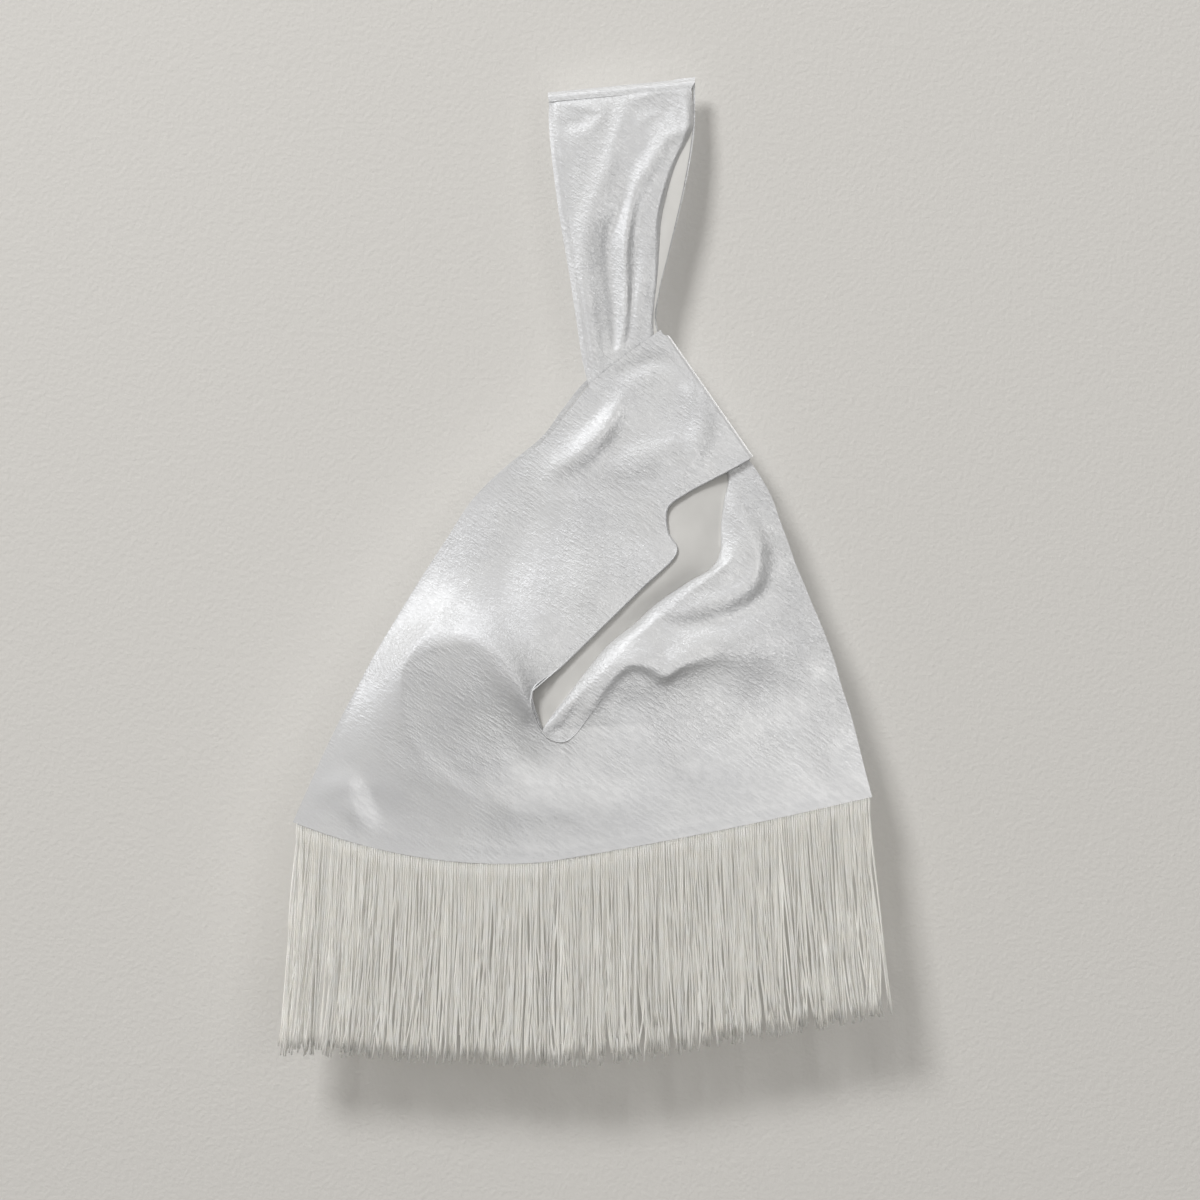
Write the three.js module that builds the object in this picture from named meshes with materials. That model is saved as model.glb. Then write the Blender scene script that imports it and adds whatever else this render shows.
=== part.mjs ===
// A small satin knot bag that hangs from its handle loop, with a twisted-strand fringe along the hem.
// The long strap pair makes the handle; it runs through the short strap pair, the loop, which folds over it.
// Millimetres. +Z is up, +X is to the right of someone who looks at the front, and the front faces -Y.
// The origin is the point that a hook holds: the middle of the handle's inner top.

import * as THREE from "three";
import { mergeVertices } from "three/addons/utils/BufferGeometryUtils.js";

// Size of the whole bag
const bagWidth = 278;
const bagHeight = 371.5;

// Cloth and the clearance between two layers of it
const satinThickness = 0.7;
const liningThickness = 0.5;
const layerGap = 0.3;

// Depth of the bag, from its middle plane to the outer face of the satin
const seamHalfDepth = 2.4;
const loopHalfDepth = 5;
const frontBulgeDepth = 10.6;
const backBulgeDepth = 4.2;
const tuckDepth = 2.6;

// Handle: half the depth of the strap pair at its top, along the hand gap and at the knot
const handleTopHalfDepth = 3.2;
const handHalfDepth = 6.3;
const handleNeckHalfDepth = 3;
const pinchHalfDepth = 1.95;
const knotHalfDepth = 2.7;
const topSeamThickness = 1.5;

// Swing line of the handle: how far each layer stays off it on the two sides
const satinSwingGap = 1.2;
const liningUpperSwingGap = 0.72;
const liningLowerSwingGap = 0.25;

// Seam allowances
const allowanceThickness = 1.2;
const allowanceWidth = 5;
const allowanceInset = 1;
const allowanceClearance = 0.4;
const mouthSeamWidth = 1.5;
const loopEndThickness = 1.2;
const loopEndInset = 2;

// Fringe: the tape sewn into the hem, and the strands that hang from it
const tapeRise = 4;
const tapeDrop = 2;
const fringeLength = 92;
const strandWidth = 1.1;
const strandDepth = 1;
const strandCount = 125;
const fringeSliceHeight = 2;
const fringeAxisDrop = 4;
const fringeRootSwingGap = 0.5;
const fringeSwingGap = 0.3;

// Mesh density, as steps between two rows of a table and as steps across a strip
const rowSteps = 2;
const panelSteps = 6;
const strapSteps = 4;

// Outlines. A point is [across, down], in shares of bagWidth and of bagHeight, from the hook point.
// Front and back start at the hem and climb. The left strip ends at the short loop's end,
// and the right strip ends under the loop as the start of the long strap.
const sideSeamLeftShares = [
  [-0.566, 0.948], [-0.523, 0.875], [-0.468, 0.791], [-0.43, 0.742], [-0.408, 0.713],
  [-0.347, 0.636], [-0.254, 0.53],
];
const loopOuterShares = [[-0.131, 0.455], [-0.054, 0.384], [0.069, 0.313]];
const frontLeftRightEdgeShares = [
  [-0.131, 1], [-0.131, 0.939], [-0.131, 0.868], [-0.131, 0.84], [-0.143, 0.78],
  [-0.019, 0.685], [0.093, 0.603], [0.081, 0.543], [0.143, 0.509], [0.226, 0.475],
];
const frontRightLeftEdgeShares = [
  [-0.131, 1], [-0.131, 0.939], [-0.131, 0.868], [-0.131, 0.84], [-0.078, 0.78], [0.033, 0.703],
  [0.126, 0.632], [0.171, 0.599], [0.174, 0.543], [0.19, 0.516], [0.119, 0.499],
];
const sideSeamRightShares = [
  [0.434, 0.916], [0.421, 0.879], [0.401, 0.823], [0.382, 0.778], [0.354, 0.716], [0.325, 0.659],
  [0.306, 0.623], [0.288, 0.587],
];
const armOuterShares = [[0.266, 0.539], [0.235, 0.491], [0.19, 0.452]];
const backLeftRightEdgeShares = [
  [-0.131, 1], [-0.119, 0.935], [-0.088, 0.836], [-0.054, 0.674], [-0.033, 0.641],
  [0.067, 0.61], [0.145, 0.571], [0.185, 0.539], [0.202, 0.504], [0.226, 0.475],
];
const backRightLeftEdgeShares = [
  [-0.131, 1], [-0.119, 0.935], [-0.088, 0.836], [-0.054, 0.674], [-0.009, 0.646], [0.012, 0.618],
  [0.041, 0.592], [0.081, 0.561], [0.119, 0.532], [0.136, 0.512], [0.119, 0.499],
];
const handleLeftShares = [[-0.126, 0.012], [-0.112, 0.08], [-0.088, 0.183], [-0.071, 0.3]];
const handleRightShares = [[0.128, -0.006], [0.119, 0.08], [0.093, 0.196], [0.071, 0.255]];
const swingLineShares = [[-0.066, 0.353], [0.062, 0.275]];
const knotLeftShares = [[-0.05, 0.386], [0.033, 0.477]];
const knotRightShares = [[0.054, 0.313], [0.13, 0.406]];
const loopEndShares = [[0.095, 0.336], [0.178, 0.426]];
const fringeTipAcrossShares = [-0.589, 0.461];
const fringeTipLengthShares = [0.96, 0.99, 1, 0.9, 0.75];

// Fullness of each row, as shares of frontBulgeDepth or backBulgeDepth
const leftFullnessShares = [0, 0.57, 0.9, 1, 1, 0.85, 0.47, 0.1, 0, 0];
const rightFullnessShares = [0, 0.57, 0.9, 1, 0.94, 0.75, 0.47, 0.28, 0.1, 0, 0];
// How far each row of the left strip has come forward from seamHalfDepth to loopHalfDepth
const loopLiftShares = [0, 0, 0, 0, 0, 0, 0, 0.85, 1, 1];
// How far each row of the back's right strip is tucked in under the loop
const backTuckShares = [0, 0, 0, 0, 0.8, 1, 1, 1, 1, 0.5, 0];

const clothMaterial = (color, roughness) =>
  new THREE.MeshStandardMaterial({ color, roughness, metalness: 0, side: THREE.DoubleSide });
const materials = {
  satin: clothMaterial(0xf2f1ef, 0.32),
  lining: clothMaterial(0xdcdbd7, 0.6),
  seam: clothMaterial(0xe6e5e1, 0.7),
  tape: clothMaterial(0xe9e6dc, 0.75),
  strand: clothMaterial(0xf0eee8, 0.4),
};

const lerp = THREE.MathUtils.lerp;

// A point of an outline in millimetres, as x and z
function place([across, down]) {
  return new THREE.Vector2(across * bagWidth, -down * bagHeight);
}

// Value of a table at a share of its length, on straight lines between its entries
function along(values, share) {
  const position = share * (values.length - 1);
  const index = Math.min(Math.floor(position), values.length - 2);
  return lerp(values[index], values[index + 1], position - index);
}

// Rows of a strip from its two edges and the depth at its sides and its middle
function makeRows(left, right, sideDepths, fullnesses) {
  return left.map((point, row) => ({
    left: point,
    right: right[row],
    side: sideDepths[row],
    full: fullnesses[row],
  }));
}

// Cells of a strip: four corners each, every corner with x, z and its depth from the middle plane
function stripCells(rows, across, profile) {
  const corner = (lower, upper, rise, share) => {
    const start = lower.left.clone().lerp(upper.left, rise);
    const end = lower.right.clone().lerp(upper.right, rise);
    const point = start.lerp(end, share);
    const side = lerp(lower.side, upper.side, rise);
    const full = lerp(lower.full, upper.full, rise);
    return { x: point.x, z: point.y, depth: side + full * profile(share) };
  };
  const cells = [];
  for (let row = 0; row + 1 < rows.length; row += 1) {
    for (let step = 0; step < rowSteps; step += 1) {
      for (let column = 0; column < across; column += 1) {
        const [low, high] = [step / rowSteps, (step + 1) / rowSteps];
        const [from, to] = [column / across, (column + 1) / across];
        const ends = [[low, from], [low, to], [high, to], [high, from]];
        cells.push(ends.map(([rise, share]) => corner(rows[row], rows[row + 1], rise, share)));
      }
    }
  }
  return cells;
}

// One closed sheet from cells. facing is -1 on the front and 1 on the back; the sheet lies between the
// distances outer and inner under the outline's depth. Edges that only one cell has get a wall.
function sheetGeometry(cells, facing, outer, inner) {
  const positions = [];
  const push = (corner, under) => positions.push(corner.x, facing * (corner.depth - under), corner.z);
  const face = (...corners) => {
    const ordered = facing < 0 ? corners : corners.reverse();
    ordered.forEach(([corner, under]) => push(corner, under));
  };
  const key = (corner) => [corner.x, corner.z, corner.depth].map((value) => value.toFixed(4)).join();
  const edges = new Map();
  for (const cell of cells) {
    const [a, b, c, d] = cell;
    face([a, outer], [b, outer], [c, outer]);
    face([a, outer], [c, outer], [d, outer]);
    face([a, inner], [c, inner], [b, inner]);
    face([a, inner], [d, inner], [c, inner]);
    cell.forEach((start, index) => {
      const end = cell[(index + 1) % cell.length];
      const reverse = `${key(end)} ${key(start)}`;
      if (edges.has(reverse)) edges.delete(reverse);
      else edges.set(`${key(start)} ${key(end)}`, [start, end]);
    });
  }
  for (const [start, end] of edges.values()) {
    face([end, outer], [start, outer], [start, inner]);
    face([end, outer], [start, inner], [end, inner]);
  }
  const geometry = new THREE.BufferGeometry();
  geometry.setAttribute("position", new THREE.Float32BufferAttribute(positions, 3));
  const merged = mergeVertices(geometry);
  merged.computeVertexNormals();
  return merged;
}

const part = new THREE.Group();

function addPiece(name, geometry, material) {
  const mesh = new THREE.Mesh(geometry, material);
  mesh.name = name;
  part.add(mesh);
  return mesh;
}

// Satin outside and lining under it, as two pieces
function addClothPair(name, satinCells, liningCells, facing) {
  const liningStart = satinThickness + layerGap;
  addPiece(`${name}_satin`, sheetGeometry(satinCells, facing, 0, satinThickness), materials.satin);
  const lining = sheetGeometry(liningCells, facing, liningStart, liningStart + liningThickness);
  addPiece(`${name}_lining`, lining, materials.lining);
}

const risesToRight = (share) => Math.sin((share * Math.PI) / 2);
const fallsToRight = (share) => Math.cos((share * Math.PI) / 2);
const flat = () => 0;

// Body of the bag, with the short loop above its left half and the start of the long strap on its right
const leftEdge = [...sideSeamLeftShares, ...loopOuterShares].map(place);
const rightEdge = [...sideSeamRightShares, ...armOuterShares].map(place);
const loopSide = loopLiftShares.map((lift) => lerp(seamHalfDepth, loopHalfDepth, lift));

function frontRows() {
  const leftFull = leftFullnessShares.map((share) => share * frontBulgeDepth);
  const rightFull = rightFullnessShares.map((share) => share * frontBulgeDepth);
  const rightSide = rightEdge.map(() => seamHalfDepth);
  return {
    left: makeRows(leftEdge, frontLeftRightEdgeShares.map(place), loopSide, leftFull),
    right: makeRows(frontRightLeftEdgeShares.map(place), rightEdge, rightSide, rightFull),
  };
}

function backRows() {
  const leftFull = leftFullnessShares.map((share) => share * backBulgeDepth);
  const rightFull = rightFullnessShares.map(
    (share, row) => share * backBulgeDepth - backTuckShares[row] * tuckDepth,
  );
  const rightSide = rightEdge.map(() => seamHalfDepth);
  return {
    left: makeRows(leftEdge, backLeftRightEdgeShares.map(place), loopSide, leftFull),
    right: makeRows(backRightLeftEdgeShares.map(place), rightEdge, rightSide, rightFull),
  };
}

function addBody(name, rows, facing) {
  const cells = [
    ...stripCells(rows.left, panelSteps, risesToRight),
    ...stripCells(rows.right, panelSteps, fallsToRight),
  ];
  addClothPair(name, cells, cells, facing);
}

// Rolled seam along the loop's edge at the mouth, just outside the cloth that it closes
function addMouthSeam(name, rows, facing) {
  const mouthStart = 4;
  const mouth = rows.left.slice(mouthStart).map(({ right, side, full }) => ({
    left: right.clone().add(new THREE.Vector2(layerGap, 0)),
    right: right.clone().add(new THREE.Vector2(layerGap + mouthSeamWidth, 0)),
    side: side + full,
    full: 0,
  }));
  const depth = satinThickness + layerGap + liningThickness;
  addPiece(name, sheetGeometry(stripCells(mouth, 1, flat), facing, 0, depth), materials.seam);
}

const front = frontRows();
const back = backRows();
addBody("front", front, -1);
addBody("back", back, 1);
addMouthSeam("front_mouth_seam", front, -1);
addMouthSeam("back_mouth_seam", back, 1);

// Seam allowances between the front and the back
function addAllowance(name, cells) {
  addPiece(name, sheetGeometry(cells, -1, 0, allowanceThickness), materials.seam);
}

function sideAllowanceRows(edge, inward) {
  const shift = (point, distance) => point.clone().add(new THREE.Vector2(inward * distance, 0));
  const hemClear = tapeRise + allowanceWidth + 2 * allowanceClearance;
  const start = edge[0].clone().lerp(edge[1], hemClear / edge[0].distanceTo(edge[1]));
  const nearHem = new THREE.Vector2(start.x, edge[0].y + hemClear);
  return [nearHem, ...edge.slice(1)].map((point) => {
    const near = shift(point, allowanceInset);
    const far = shift(point, allowanceInset + allowanceWidth);
    const [left, right] = inward > 0 ? [near, far] : [far, near];
    return { left, right, side: allowanceThickness / 2, full: 0 };
  });
}

addAllowance("left_side_seam", stripCells(sideAllowanceRows(sideSeamLeftShares.map(place), 1), 1, flat));
addAllowance("right_side_seam", stripCells(sideAllowanceRows(sideSeamRightShares.map(place), -1), 1, flat));

// The hem as a line from corner to corner, and its height at any x
const hem = [sideSeamLeftShares[0], frontLeftRightEdgeShares[0], sideSeamRightShares[0]].map(place);

function hemHeight(x) {
  const [left, middle, right] = hem;
  const [start, end] = x < middle.x ? [left, middle] : [middle, right];
  return lerp(start.y, end.y, (x - start.x) / (end.x - start.x));
}

function bottomAllowanceCells() {
  const raised = (point, rise) => point.clone().add(new THREE.Vector2(0, rise));
  const [left, middle, right] = hem;
  const inset = allowanceInset * 2;
  const leftEnd = new THREE.Vector2(left.x + inset, hemHeight(left.x + inset));
  const rightEnd = new THREE.Vector2(right.x - inset, hemHeight(right.x - inset));
  const low = tapeRise + allowanceClearance;
  const rows = (start, end) => [low, low + allowanceWidth].map((rise) => ({
    left: raised(start, rise),
    right: raised(end, rise),
    side: allowanceThickness / 2,
    full: 0,
  }));
  return [...stripCells(rows(leftEnd, middle), 1, flat), ...stripCells(rows(middle, rightEnd), 1, flat)];
}

addAllowance("bottom_seam", bottomAllowanceCells());

// End of the short loop: the piece that joins its front and back across the fold line
function addLoopEnd() {
  const [top, bottom] = loopEndShares.map(place);
  const run = bottom.clone().sub(top);
  const depth = 2 * (loopHalfDepth - satinThickness - liningThickness - 2 * layerGap);
  const geometry = new THREE.BoxGeometry(run.length(), depth, loopEndThickness);
  const mesh = addPiece("short_loop_end", geometry, materials.satin);
  const inward = new THREE.Vector2(run.y, -run.x).normalize().multiplyScalar(loopEndInset);
  const middle = top.clone().lerp(bottom, 1 / 2).add(inward);
  mesh.position.set(middle.x, 0, middle.y);
  mesh.rotation.y = -Math.atan2(run.y, run.x);
}

addLoopEnd();

// Swing line between the handle and the strap inside the loop, and its direction away from the loop
const [swingLeft, swingRight] = swingLineShares.map(place);
const swingRun = swingRight.clone().sub(swingLeft);
const awayFromLoop = new THREE.Vector2(-swingRun.y, swingRun.x).normalize();

function swingPoints(distance) {
  return [swingLeft, swingRight].map((point) => point.clone().addScaledVector(awayFromLoop, distance));
}

// Handle loop
function handleCells(swingGap) {
  const [lastLeft, lastRight] = swingPoints(swingGap);
  const left = [...handleLeftShares.map(place), lastLeft];
  const right = [...handleRightShares.map(place), lastRight];
  const depths = [handleTopHalfDepth, handHalfDepth, handHalfDepth, handleNeckHalfDepth, pinchHalfDepth];
  const rows = makeRows(left, right, depths, depths.map(flat));
  return stripCells(rows.reverse(), strapSteps, flat);
}

function addTopSeam() {
  const left = place(handleLeftShares[0]);
  const right = place(handleRightShares[0]);
  const run = right.clone().sub(left);
  const geometry = new THREE.BoxGeometry(run.length(), 2 * handleTopHalfDepth, topSeamThickness);
  const mesh = addPiece("handle_top_seam", geometry, materials.satin);
  const outward = new THREE.Vector2(-run.y, run.x).normalize();
  const middle = left.clone().lerp(right, 1 / 2);
  middle.addScaledVector(outward, layerGap + topSeamThickness / 2);
  mesh.position.set(middle.x, 0, middle.y);
  mesh.rotation.y = -Math.atan2(run.y, run.x);
}

addClothPair("handle_front", handleCells(satinSwingGap), handleCells(liningUpperSwingGap), -1);
addClothPair("handle_back", handleCells(satinSwingGap), handleCells(liningUpperSwingGap), 1);
addTopSeam();

// The same strap inside the loop, which the loop slides along
function knotCells(swingGap) {
  const [firstLeft, firstRight] = swingPoints(-swingGap);
  const left = [firstLeft, ...knotLeftShares.map(place)];
  const right = [firstRight, ...knotRightShares.map(place)];
  const depths = [pinchHalfDepth, pinchHalfDepth, knotHalfDepth];
  return stripCells(makeRows(left, right, depths, depths.map(flat)).reverse(), strapSteps, flat);
}

addClothPair("knot_front", knotCells(satinSwingGap), knotCells(liningLowerSwingGap), -1);
addClothPair("knot_back", knotCells(satinSwingGap), knotCells(liningLowerSwingGap), 1);

// Fringe. A comb has a back of even width between x = left and x = right and one tooth per strand.
function combGeometry({ left, right, backHeight, rootHeight, tip }) {
  const pitch = (right - left) / strandCount;
  const corner = (x, z) => ({ x, z, depth: strandDepth / 2 });
  const backCell = (start, end) => [
    corner(start, rootHeight(start)),
    corner(end, rootHeight(end)),
    corner(end, backHeight(end)),
    corner(start, backHeight(start)),
  ];
  const cells = [];
  for (let strand = 0; strand < strandCount; strand += 1) {
    const start = left + strand * pitch;
    const end = start + strandWidth;
    const [tipX, tipHeight] = tip(start, strand / (strandCount - 1));
    cells.push(backCell(start, end));
    cells.push([
      corner(tipX, tipHeight),
      corner(tipX + strandWidth, tipHeight),
      corner(end, rootHeight(end)),
      corner(start, rootHeight(start)),
    ]);
    if (strand + 1 < strandCount) cells.push(backCell(end, start + pitch));
  }
  return sheetGeometry(cells, -1, 0, strandDepth);
}

const fringeAxisHeight = hem[1].y - fringeAxisDrop;
const fringeLeft = hem[0].x + allowanceInset;
const fringeRight = hem[2].x - allowanceInset;

// Tape in the hem with the upper ends of the strands, down to the line where the fringe swings
function addFringeHeader() {
  const geometry = combGeometry({
    left: fringeLeft,
    right: fringeRight,
    backHeight: (x) => hemHeight(x) + tapeRise,
    rootHeight: (x) => hemHeight(x) - tapeDrop,
    tip: (x) => [x, fringeAxisHeight + fringeRootSwingGap],
  });
  addPiece("fringe_header", geometry, materials.tape);
}

// Hanging strands below that line
function addFringeStrands() {
  const top = fringeAxisHeight - fringeSwingGap;
  const [tipLeft, tipRight] = fringeTipAcrossShares.map((share) => share * bagWidth);
  const geometry = combGeometry({
    left: fringeLeft,
    right: fringeRight,
    backHeight: () => top,
    rootHeight: () => top - fringeSliceHeight,
    tip: (x, share) => [
      lerp(tipLeft, tipRight, share),
      fringeAxisHeight - fringeLength * along(fringeTipLengthShares, share),
    ],
  });
  addPiece("fringe_strands", geometry, materials.strand);
}

addFringeHeader();
addFringeStrands();

export default part;
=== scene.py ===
"""A white satin knot bag with a strand fringe, hanging in front of a pale wall."""
import math

import bpy
import numpy as np
from mathutils import Matrix, Vector


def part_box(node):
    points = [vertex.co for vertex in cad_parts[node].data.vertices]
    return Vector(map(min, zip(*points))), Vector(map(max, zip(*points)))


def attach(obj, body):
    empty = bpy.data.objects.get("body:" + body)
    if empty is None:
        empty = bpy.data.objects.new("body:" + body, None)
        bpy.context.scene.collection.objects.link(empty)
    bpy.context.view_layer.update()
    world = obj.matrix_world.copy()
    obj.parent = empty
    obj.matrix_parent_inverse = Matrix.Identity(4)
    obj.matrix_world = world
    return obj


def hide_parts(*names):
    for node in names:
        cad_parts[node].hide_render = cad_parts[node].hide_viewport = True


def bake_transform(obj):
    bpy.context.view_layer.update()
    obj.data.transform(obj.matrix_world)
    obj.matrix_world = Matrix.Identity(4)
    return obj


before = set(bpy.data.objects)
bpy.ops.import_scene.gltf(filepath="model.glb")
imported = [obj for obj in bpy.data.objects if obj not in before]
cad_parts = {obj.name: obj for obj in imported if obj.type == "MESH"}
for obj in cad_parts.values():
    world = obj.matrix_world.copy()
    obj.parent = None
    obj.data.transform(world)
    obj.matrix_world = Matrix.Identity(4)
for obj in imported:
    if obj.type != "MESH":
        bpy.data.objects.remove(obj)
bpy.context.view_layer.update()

bpy.ops.object.select_all(action="DESELECT")

MM = 0.001

# Places are read off the photograph in its own pixels, x to the right and y down. The hook's pixel is the
# frame's origin, and the hem's two corners set the scale.
HOOK_PX = (621, 88)
HEM_LEFT_PX = (293, 822)
HEM_RIGHT_PX = (872, 797)
PHOTO_CENTRE_PX = (600, 600)
PHOTO_WIDTH_PX = 1200

satin_low, satin_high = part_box("front_satin")
METRES_PER_PX = (satin_high.x - satin_low.x) / (HEM_RIGHT_PX[0] - HEM_LEFT_PX[0])


def place(px, py, depth_mm=0.0):
    """A photograph's pixel and a distance behind the middle plane, as a point in the frame."""
    return Vector(((px - HOOK_PX[0]) * METRES_PER_PX, depth_mm * MM, (HOOK_PX[1] - py) * METRES_PER_PX))


# Thickness of the sheets, and the air between a face and its lining
SATIN_MM = 0.45
LINING_MM = 0.3
LAYER_GAP_MM = 0.35

# Body outline: the left side from the hem's corner up to the short loop's end, and what lies across from it.
# The first four rows end on a line down the middle of the body, and the others on the edge of the mouth.
LEFT_SIDE_PX = [
    (293, 822), (318, 766), (338, 724), (357, 688), (374, 656), (396, 619), (420, 580), (446, 540),
    (474, 498), (508, 470), (545, 440), (568, 412), (590, 385), (620, 360), (660, 331),
]
LEFT_MOUTH_PX = [
    (545, 862), (545, 820), (545, 778), (542, 730), (533, 690), (560, 667), (600, 628), (641, 588),
    (675, 554), (667, 532), (667, 508), (686, 493), (708, 481), (731, 469), (749, 459),
]
LEFT_SIDE_DEPTHS = [0.72, 0.47, 0.47, 0.47, 0.47, 0.47, 0.47, 0.47, 0.7, 2.2, 3.8, 4.4, 4.6, 4.6, 4.6]
LEFT_FULL_DEPTHS = [0.1, 2.4, 4.6, 6.8, 8.2, 8.2, 7.6, 6.4, 5.0, 3.4, 2.0, 1.2, 0.8, 0.5, 0]

RIGHT_MOUTH_PX = [
    (545, 862), (545, 820), (545, 778), (542, 730), (553, 714), (570, 692), (590, 666), (610, 643),
    (634, 624), (657, 603), (688, 582), (711, 568), (720, 551), (721, 524), (724, 500), (728, 480),
    (722, 462),
]
# How far in from the mouth the right half starts to roll over its edge
RIM_WIDTHS_PX = [0, 0, 0, 11, 13, 17, 22, 26, 30, 34, 34, 30, 24, 20, 16, 10, 6]
RIM_DROP_MM = [0, 0, 0, 0, 1.6, 2.6, 3.3, 3.7, 4.0, 4.2, 4.0, 3.4, 2.6, 1.6, 0.8, 0.3, 0]
# The lining faces the mouth's right edge and runs on under the flap: what it reaches there
FACING_PX = [
    (541, 731), (530, 704), (528, 682), (548, 662), (570, 640), (592, 618), (614, 597), (640, 572),
    (656, 556), (660, 543), (652, 524), (654, 502), (676, 484), (700, 466),
]
FACING_DEPTHS = [8.6, 8.4, 8.2, 7.6, 7.0, 6.4, 5.8, 5.2, 4.8, 4.5, 4.3, 4.0, 3.8, 3.6]
FLAP_CLEARANCE_MM = 1.0
RIGHT_SIDE_PX = [
    (872, 797), (864, 766), (857, 738), (850, 712), (842, 688), (834, 660), (824, 632), (813, 606),
    (804, 584), (796, 565), (790, 548), (785, 534), (779, 518), (773, 501), (764, 483), (750, 462),
    (726, 436),
]
RIGHT_SIDE_DEPTHS = [0.72] + [0.47] * 9 + [0.6, 0.9, 1.3, 1.6, 1.9, 2.0, 2.0]
RIGHT_FULL_DEPTHS = [0.1, 2.4, 4.6, 6.8, 8.2, 9.2, 8.8, 8.0, 7.0, 6.2, 5.4, 4.6, 3.4, 2.2, 1.2, 0.4, 0]
MOUTH_BOTTOM_ROW = 3
# Rows of the mesh to each row of the lists above, and the same for the handle
ROW_STEPS = 14
HANDLE_STEPS = 16
# How far the lowest rows bow down between the side and the middle
LEFT_ROW_BOWS_PX = [15, 11, 6, 2]
RIGHT_ROW_BOWS_PX = [3, 3, 3, 2]


def smooth_curve(values, steps, corner=None):
    """Points on a Catmull-Rom curve through values, steps to each stretch, with a sharp turn at corner."""
    values = np.asarray(values, float)
    if values.ndim == 1:
        values = values[:, None]
    if corner:
        lower = smooth_curve(values[:corner + 1], steps)
        upper = smooth_curve(values[corner:], steps)
        return np.vstack([lower, upper[1:]])
    ends = np.vstack([2 * values[0] - values[1], values, 2 * values[-1] - values[-2]])
    t = np.linspace(0, 1, steps, endpoint=False)[:, None]
    stretches = []
    for a, b, c, d in zip(ends[:-3], ends[1:-2], ends[2:-1], ends[3:]):
        stretches.append(0.5 * (2 * b + (c - a) * t + (2 * a - 5 * b + 4 * c - d) * t**2
                                + (3 * b - a - 3 * c + d) * t**3))
    return np.vstack([*stretches, values[-1:]])


def strip(left, right, side, full, columns, profile, steps=ROW_STEPS, corners=(None, None), bows=()):
    """A grid of (px, py, depth in mm) between two edges, as rows by columns. side is each row's depth at its
    edges, and profile spreads what full adds over the row."""
    left, right = smooth_curve(left, steps, corners[0]), smooth_curve(right, steps, corners[1])
    side, full = smooth_curve(side, steps), smooth_curve(full, steps)
    bow = np.zeros(len(side))
    if bows:
        bow[:(len(bows) - 1) * steps + 1] = smooth_curve(bows, steps)[:, 0]
    u = np.linspace(0, 1, columns + 1)
    flat = left[:, None] * (1 - u)[None, :, None] + right[:, None] * u[None, :, None]
    flat[..., 1] += bow[:, None] * 4 * u * (1 - u)
    depth = side + full * profile(u)[None, :]
    return np.dstack([flat, depth])


def swells_to_right(u):
    return np.sin(u * math.pi / 2) ** 0.95


def swells_to_left(u):
    return swells_to_right(1 - u)


# The power by which the nearest part of a fold's line outweighs the rest of it
FOLD_BLEND = 4


def fold_relief(grid, folds):
    """Height in mm of given folds. A fold is a line of (px, py, width in px, height in mm), and where its
    right side, seen along the line, falls off over another width, that width is the fifth value."""
    points = grid[..., :2]
    total = np.zeros(points.shape[:2])
    for fold in folds:
        rows = np.array([row if len(row) == 5 else (*row, row[2]) for row in fold], float)
        longest = np.hypot(*np.diff(rows[:, :2], axis=0).T).max()
        line = smooth_curve(rows, math.ceil(longest / 2))
        runs = np.gradient(line[:, :2], axis=0)
        weights, heights = np.full(total.shape, 1e-200), np.zeros(total.shape)
        for (px, py, left_width, height, right_width), run in zip(line, runs):
            off = points - (px, py)
            distance = np.hypot(off[..., 0], off[..., 1]) + 1e-6
            spacing = np.hypot(*run)
            to_right = (run[0] * off[..., 1] - run[1] * off[..., 0]) / (spacing * distance)
            width = left_width + (right_width - left_width) * (0.5 + 0.5 * to_right)
            weight = spacing / width * np.exp(-FOLD_BLEND * (distance / width) ** 2)
            weights += weight
            heights += weight * height
        total += heights / weights * (weights * math.sqrt(FOLD_BLEND / math.pi)) ** (1 / FOLD_BLEND)
    return total


def ripple(x, y, cell, seed):
    """Smooth random height between -1 and 1 on a lattice of that cell size."""
    table = np.random.default_rng(seed).uniform(-1, 1, (64, 64))
    gx, gy = x / cell, y / cell
    ix, iy = np.floor(gx).astype(int), np.floor(gy).astype(int)
    fx, fy = gx - ix, gy - iy
    fx, fy = fx * fx * (3 - 2 * fx), fy * fy * (3 - 2 * fy)
    pick = lambda i, j: table[i % 64, j % 64]
    low = pick(ix, iy) * (1 - fx) + pick(ix + 1, iy) * fx
    high = pick(ix, iy + 1) * (1 - fx) + pick(ix + 1, iy + 1) * fx
    return low * (1 - fy) + high * fy


def crinkle(grid, seed, angle=0.6, strength=1.0):
    """Fine creases of handled satin, in mm: long soft ones across short crisp ones."""
    px, py = grid[..., 0], grid[..., 1]
    along = px * math.cos(angle) + py * math.sin(angle)
    across = py * math.cos(angle) - px * math.sin(angle)
    soft = ripple(along, across, 46, seed) * 0.55
    long_creases = ripple(along / 3, across, 13, seed + 1) * 0.16
    crisp = (0.5 - np.abs(ripple(along / 2, across, 7, seed + 2))) * 0.1
    patches = 0.55 + 0.45 * ripple(px, py, 70, seed + 3)
    return strength * (soft + (long_creases + crisp) * patches)


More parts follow.
